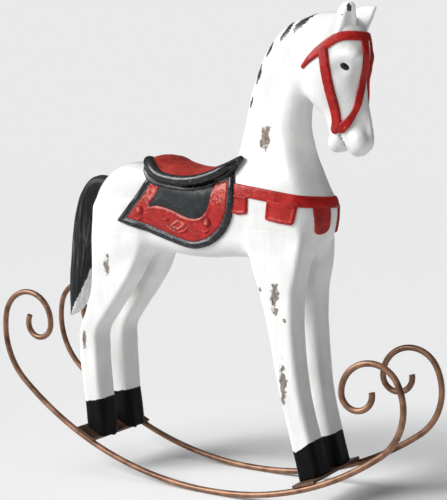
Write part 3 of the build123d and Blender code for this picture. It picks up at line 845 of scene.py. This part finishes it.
def collar(grid, skin, red):
    """The strap round the breast and the tabs that hang from it."""
    strap = outline_distance(smooth(COLLAR, closed=True, per=6), grid.x, grid.z)
    strap = flat_field(strap, skin, -1.0, COLLAR_TOP, 0.8)
    piece = relief("breast_collar_strap", grid, strap, red, ["breast_collar"])
    stamp(piece, "edge", np.clip((56 - vertices(piece)[:, 0]) / 60, 0, 0.6))
    for side, way in (("right", -1), ("left", 1)):
        tabs = 1e3
        for outline in (TAB_BACK, TAB_SIDE):
            flap = outline_distance(np.array(outline), grid.x, grid.z) - 0.3
            lip = 0.75 * np.clip(1 - abs(flap + 1.3) / 1.3, 0, 1)
            tabs = np.minimum(tabs, flat_field(flap, skin - lip, -0.8, TAB_TOP, 0.5))
        chest = loop_distance(smooth(TAB_CHEST, closed=True, per=4), -way * grid.y, grid.z)
        chest = np.maximum(chest + 0 * grid.x, 62 - grid.x)
        lip = 0.5 * np.clip(1 - abs(chest + 1.2) / 1.2, 0, 1)
        tabs = np.minimum(tabs, flat_field(chest, skin - lip, -0.8, CHEST_TAB_TOP, 0.5))
        tabs = np.maximum(tabs, 1.0 - way * grid.y)
        relief(f"collar_tabs_{side}_carved", grid, tabs, red, [f"collar_tabs_{side}"])


def strap_field(far, skin, half_width, height):
    """A half-round strap: its middle stands height over the skin."""
    return np.maximum(board(far - half_width, skin, height, height * 0.85), -0.9 - skin)


def bridle(grid, skin, red):
    """Brow band, cheek straps and face straps."""
    brow, share = side_distance(BROW, 5, grid.x, grid.z)
    half_width = 1.5 + 1.6 * np.clip(share * 4, 0, 1)
    relief("bridle_brow_strap", grid, strap_field(brow, skin, half_width, BROW_TOP), red,
           ["bridle_headstall"])
    cheek, share = side_distance(CHEEK, 5, grid.x, grid.z)
    cheek = strap_field(cheek, skin, 3.3 + 0.1 * share, CHEEK_TOP)
    face, share = run_distance(smooth(FACE, per=4), grid.x, -abs(grid.y), grid.z)
    face = strap_field(face, skin, 3.0 + 0.3 * share, FACE_TOP)
    for side, way in (("right", -1), ("left", 1)):
        half = 0.2 - way * grid.y
        relief(f"cheek_strap_{side}_carved", grid, np.maximum(cheek, 3 - way * grid.y), red,
               [f"bridle_cheek_strap_{side}"])
        relief(f"face_strap_{side}_carved", grid, np.maximum(face, half), red,
               [f"bridle_face_strap_{side}"])


def eyes(grid, skin, black):
    """Almond beads that lean down to the front."""
    x, z = EYE_PLACE
    lean = EYE_LEAN
    u = (grid.x - x) * cos(lean) + (grid.z - z) * sin(lean)
    v = -(grid.x - x) * sin(lean) + (grid.z - z) * cos(lean)
    bead = np.sqrt((u / EYE_HALF[0]) ** 2 + (v / EYE_HALF[1]) ** 2 + ((skin + 0.1) / 1.2) ** 2) - 1
    for side, way in (("right", -1), ("left", 1)):
        relief(f"eye_{side}_bead", grid, np.maximum(bead, 6 - way * grid.y), black,
               [f"eye_{side}"])


# Each ear: corners (x, across) of its foot and of its top, and its upper edge as (x, z).
EAR_FEET, EAR_TOP = 314.0, 332.0
EARS = {
    "right": ([(99.2, 3.6), (87.6, 14.0), (80, 10), (76, 2.4)],
              [(99.8, 7.4), (93.2, 11.4), (87, 9.6), (85, 7.2)],
              [(60, 325), (78, 330.4), (87, 333.6), (93, 335.0), (97, 334.6), (100.5, 331.5), (104, 324)],
              (97.6, 12.6, 323.5)),
    "left": ([(98.2, 4.4), (96.4, 12.4), (86, 12), (76, 2.4)],
             [(106.4, 8.2), (105.8, 10.8), (97, 11), (88, 7.0)],
             [(60, 325), (78, 330.0), (88, 332.6), (97, 333.6), (103, 333.2), (107, 331.6), (110, 327)],
             (108.2, 9.6, 324.0)),
}


def fin(grid, way, feet, top, ridge):
    """A tapering four-sided block under a ridge line."""
    share = (grid.z - EAR_FEET) / (EAR_TOP - EAR_FEET)
    corners = [(a + (c - a) * share, b + (d - b) * share) for (a, b), (c, d) in zip(feet, top)]
    field = grid.z - along(ridge, grid.x)
    for (ax, ay), (bx, by) in zip(corners, corners[1:] + corners[:1]):
        ex, ey = bx - ax, by - ay
        side = ((grid.x - ax) * ey - (way * grid.y - ay) * ex) / np.hypot(ex, ey)
        field = both(field, side, 2.4)
    return field


def ears(white):
    """Two carved ears: a cupped front facet, the back running down into the crest."""
    pieces = {}
    for side, way in (("right", -1), ("left", 1)):
        feet, top, ridge, cup = EARS[side]
        low, high = sorted((way * 1.0, way * 17.0))
        grid = Grid((66, low, 306), (112, high, 339), 0.5)
        shape = fin(grid, way, feet, top, ridge)
        shape = -join(-shape, ball(grid, cup, (5.0, 5.0, 8.5)), 1.4)
        shape = np.maximum(shape, 309 - grid.z)
        node = f"ear_{side}"
        pieces[node] = carve(node, grid, shape, white)
    return pieces


# Rings of the tail: centre x, centre z, thickness fore and aft, width across.
TAIL_RINGS = [(-100, 212, 10, 12), (-117, 213.5, 11, 14), (-126.5, 204, 12, 16), (-130.1, 189, 15, 17),
              (-132.3, 171, 17, 17), (-134.2, 154, 17, 17), (-135.0, 145, 17.4, 17),
              (-136.4, 132, 16.4, 15.4), (-140.0, 119, 11.6, 10.6), (-145.6, 110.5, 2.4, 2.8)]
# How far forward the tail's black paint reaches at each height, seen from the front quarter.
TAIL_BLACK = [(110, -125.0), (119.5, -121.1), (131.8, -114.5), (145.4, -108.6), (154, -105.3),
              (164, -96), (180, -80), (225, -60)]


def tail(black):
    """A hanging brush of carved locks, wider at the middle and drawn to a point."""
    rings = smooth(TAIL_RINGS, per=14)
    sides = 96
    turn = np.linspace(0, 2 * np.pi, sides, endpoint=False)
    points = []
    heading = np.gradient(rings[:, :2], axis=0)
    heading /= np.linalg.norm(heading, axis=1)[:, None]
    for step, ((x, z, deep, wide), (hx, hz)) in enumerate(zip(rings, heading)):
        down = step / len(rings)
        lock = 0.055 * np.sin(11 * turn + 5 * down) + 0.03 * np.sin(23 * turn - 9 * down + 1)
        lock = 1 + lock * min(1, 3 * down) * (1 - 0.4 * down)
        u = np.cos(turn) * deep / 2 * lock
        v = np.sin(turn) * wide / 2 * lock
        points.append(np.stack([x + hz * u, v, z - hx * u], 1))
    count = len(points)
    ends = [(rings[0, 0], 0, rings[0, 1]), (rings[-1, 0], 0, rings[-1, 1] - 1)]
    points = np.vstack(points + [ends])
    faces = []
    for i in range(count - 1):
        for j in range(sides):
            k = (j + 1) % sides
            faces.append((i * sides + j, (i + 1) * sides + j, (i + 1) * sides + k, i * sides + k))
    for j in range(sides):
        k = (j + 1) % sides
        faces.append((count * sides, j, k))
        faces.append((count * sides + 1, (count - 1) * sides + k, (count - 1) * sides + j))
    piece = make_object("tail_carved", points, faces, black, ["tail"])
    x, y, z = vertices(piece).T
    stamp(piece, "edge", 0.55 * np.clip(1.2 - abs(z - 170) / 34, 0, 1) - 0.25 * (y > 0))
    front = 0.85 * x - 0.52 * abs(y) - along(TAIL_BLACK, z)
    stamp(piece, "bare", np.clip(front / 2, -1, 1))
    return piece


# ---- studio ----
CAMERA_AT = (417.2, -691.9, 243.2)
CAMERA_AIM = (-7.0, 0.0, 167.5)


def aim(item, at, target):
    item.location = [v * MM for v in at]
    way = (Vector(target) - Vector(at)) * MM
    item.rotation_euler = way.to_track_quat("-Z", "Y").to_euler()


def make_camera():
    """A long lens from the front right, a little above the horse's middle."""
    camera = bpy.data.cameras.new("camera")
    camera.lens = 82.4
    camera.sensor_width = 36.0
    camera.clip_start = 0.01
    camera.dof.use_dof = False
    item = bpy.data.objects.new("camera", camera)
    bpy.context.scene.collection.objects.link(item)
    aim(item, CAMERA_AT, CAMERA_AIM)
    bpy.context.scene.camera = item


def make_sun(name, come_from, power, spread):
    light = bpy.data.lights.new(name, "SUN")
    light.energy = power
    light.angle = radians(spread)
    item = bpy.data.objects.new(name, light)
    bpy.context.scene.collection.objects.link(item)
    aim(item, come_from, (0, 0, 0))


def make_floor():
    """A plain sheet of pale paper, a few metres wide."""
    mesh = bpy.data.meshes.new("floor")
    reach = 6.0
    mesh.from_pydata([(-reach, -reach, 0), (reach, -reach, 0), (reach, reach, 0), (-reach, reach, 0)],
                     [], [(0, 1, 2, 3)])
    floor = bpy.data.objects.new("floor", mesh)
    bpy.context.scene.collection.objects.link(floor)
    paint = bpy.data.materials.new("floor_paper")
    paint.use_nodes = True
    shader = paint.node_tree.nodes["Principled BSDF"]
    shader.inputs["Base Color"].default_value = (0.95, 0.95, 0.95, 1)
    shader.inputs["Roughness"].default_value = 0.9
    shader.inputs["Specular IOR Level"].default_value = 0.1
    mesh.materials.append(paint)


def make_world():
    """A faint cool fill light, and a pale backdrop that only the camera sees."""
    world = bpy.data.worlds.new("studio")
    world.use_nodes = True
    nodes, links = world.node_tree.nodes, world.node_tree.links
    shown = nodes["Background"]
    shown.inputs["Color"].default_value = (1, 1, 1, 1)
    shown.inputs["Strength"].default_value = 0.82
    lighting = nodes.new("ShaderNodeBackground")
    lighting.inputs["Color"].default_value = (0.93, 0.96, 1.0, 1)
    lighting.inputs["Strength"].default_value = 0.13
    rays = nodes.new("ShaderNodeLightPath")
    switch = nodes.new("ShaderNodeMixShader")
    links.new(rays.outputs["Is Camera Ray"], switch.inputs[0])
    links.new(lighting.outputs[0], switch.inputs[1])
    links.new(shown.outputs[0], switch.inputs[2])
    links.new(switch.outputs[0], nodes["World Output"].inputs["Surface"])
    bpy.context.scene.world = world
    bpy.context.scene.view_settings.view_transform = "Standard"


# ---- everything put together ----
# Chips down to the wood: side (-1 is the right flank), x, z, half width, half height.
CHIPS = [
    (-1, 36.4, 247.4, 3.4, 9.5), (-1, 33.6, 251.5, 1.2, 2.2), (-1, 50.6, 141.4, 2.8, 8.2),
    (-1, 52.0, 132.0, 1.4, 3.0), (-1, 56.4, 83.0, 2.6, 12.5), (-1, 58.1, 125.7, 1.3, 1.4),
    (-1, 39.4, 145.5, 1.3, 1.3), (-1, -91.0, 153.8, 2.0, 5.6), (-1, -89.6, 161.4, 1.2, 1.3),
    (-1, -111.8, 96.5, 1.6, 7.5),
    (1, 30.0, 262.0, 2.8, 6.5), (1, 55.0, 118.0, 3.0, 9.0), (1, -96.0, 186.0, 4.0, 5.0),
    (1, -108.5, 78.0, 2.6, 9.0), (1, 12.0, 190.0, 1.6, 2.4), (1, 64.0, 52.0, 1.6, 4.5),
]
# Dry-brushed locks of the mane, over the crest: points along each, and their half widths.
MANE = [
    [(68.0, -4.6, 328.4), (61.2, -8.4, 324.3), (55.3, -11.6, 317.4)],
    [(51.4, -5.6, 324.0), (49.4, -10.3, 318.4), (45.0, -11.8, 312.0)],
    [(37.2, -8.8, 311.0), (35.8, -10.4, 306.5), (33.2, -11.2, 301.6)],
    [(28.8, -9.8, 295.6), (27.6, -11.0, 290.0), (25.6, -11.6, 283.6)],
    [(23.4, -11.6, 274.2), (22.2, -11.8, 270.8), (21.2, -12.0, 266.8)],
]
MANE_WIDTHS = [3.7, 3.0, 2.4, 2.7, 1.7]
# The hooves' paint line: x at its back and front, and its height at each.
HOOF_LINES = {
    "fore_leg_right": (66.0, 79.0, 37.0, 47.0), "fore_leg_left": (66.0, 79.0, 40.0, 44.5),
    "hind_leg_right": (-114.0, -97.0, 50.5, 54.5), "hind_leg_left": (-114.0, -97.0, 52.0, 55.0),
}


def stamp_paint(pieces):
    """Marks worn patches, mane strokes and hoof paint on the carved wood."""
    for node, piece in pieces.items():
        x, y, z = vertices(piece).T
        wear = np.full(len(x), -1.0)
        for side, cx, cz, half_width, half_height in CHIPS:
            patch = 1 - np.hypot((x - cx) / half_width, (z - cz) / half_height)
            outer = 17 if "leg" in node else 4
            wear = np.maximum(wear, np.where(y * side > outer, patch, -1))
        black = np.full(len(x), -1.0)
        for run, width in zip(MANE, MANE_WIDTHS):
            far, share = run_distance(smooth(run, per=5), x, y, z)
            thick = width * (0.25 + 0.75 * np.sin(np.pi * np.clip(share * 0.8 + 0.12, 0, 1)))
            black = np.maximum(black, 1 - far / thick)
        if node == "ear_right":
            black = np.maximum(black, 1.1 - np.hypot((x - 94.3) / 1.5, (z - 330.6) / 2.2))
            black = np.maximum(black, 0.6 - np.hypot((x - 90.4) / 1.8, (z - 326.0) / 1.0))
        hoof = np.full(len(x), -1.0)
        if node in HOOF_LINES:
            back, front, low, high = HOOF_LINES[node]
            hoof = np.clip((np.interp(x, [back, front], [low, high]) - z) / 2.2, -1, 1)
        stamp(piece, "wear", np.clip(wear, -1, 1))
        stamp(piece, "black", np.clip(black, -1, 1))
        stamp(piece, "hoof", hoof)


def finish_metal():
    """Gives the wires, plates, screws and pegs their own finishes."""
    copper = metal("aged_copper_wire", (0.13, 0.060, 0.032), (0.33, 0.175, 0.105), 0.42,
                   (0.05, 0.03, 0.02), lay=0.7)
    plate = metal("blackened_copper_plate", (0.075, 0.042, 0.026), (0.20, 0.115, 0.072), 0.46,
                  (0.03, 0.025, 0.02), lay=1.0)
    steel = metal("zinc_steel", (0.42, 0.42, 0.42), (0.62, 0.62, 0.61), 0.3, (0.1, 0.08, 0.06),
                  lay=0.6)
    wood = bare_wood()
    slots = {"rocker_left": copper, "rocker_right": copper, "foot_plate_front": plate,
             "foot_plate_rear": plate, "hoof_screws_front": steel, "hoof_screws_rear": steel,
             "tail_peg": wood, "leg_dowels": wood, "neck_dowels": wood}
    for node, finish in slots.items():
        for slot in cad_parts[node].material_slots:
            slot.material = finish


white = horse_paint()
deep_red, bright_red, rubbed_red = (0.26, 0.0035, 0.003), (0.46, 0.013, 0.009), (0.66, 0.22, 0.18)
strap_red = worn_leather("red_painted_straps", deep_red, bright_red, rubbed_red, 0.42, rub=0.3, gleam=0.25)
saddle_red = worn_leather("red_painted_saddle", deep_red, bright_red, rubbed_red, 0.44, rub=0.8, gleam=0.3)
# Painted light: the seat's red is a brighter, paler copy of the saddle's red, standing in for the light on
# the seat's upward-facing top.
lit_seat_red = worn_leather("red_painted_seat_lit", (0.30, 0.012, 0.008), (0.52, 0.045, 0.028), rubbed_red, 0.44,
                        grain=0.06, gleam=0.3)
black_gloss = worn_leather("black_painted_rolls", (0.003, 0.0035, 0.004), (0.010, 0.011, 0.013),
                           (0.46, 0.47, 0.50), 0.30, rub=0.8, grain=0.015, ragged=0.15, gleam=0.4)
panel_black = worn_leather("black_leather_panel", (0.005, 0.007, 0.008), (0.018, 0.022, 0.024),
                           (0.16, 0.17, 0.17), 0.5, rub=0.4, gleam=0.3)
pieces = carve_body(white)
pieces.update(ears(white))
stamp_paint(pieces)

saddle_grid = Grid((-86, -35, 166), (27, 35, 244), 0.65)
saddle_skin = body(saddle_grid)
skirt = dressed_saddle(saddle_grid, saddle_skin, saddle_red, black_gloss, panel_black)
saddle(saddle_grid, saddle_skin, skirt, lit_seat_red, black_gloss)
collar_grid = Grid((11, -33, 178), (92, 33, 221), 0.6)
collar(collar_grid, body(collar_grid), strap_red)
head_grid = Grid((58, -21, 234), (110, 21, 320), 0.5)
head_skin = body(head_grid)
bridle(head_grid, head_skin, strap_red)
eyes(head_grid, head_skin, eye_gloss())
tail(tail_paint())
finish_metal()

make_camera()
make_world()
make_floor()
make_sun("key", (-740, -740, 640), 4.0, 34)
make_sun("top", (-260, -60, 950), 0.3, 50)
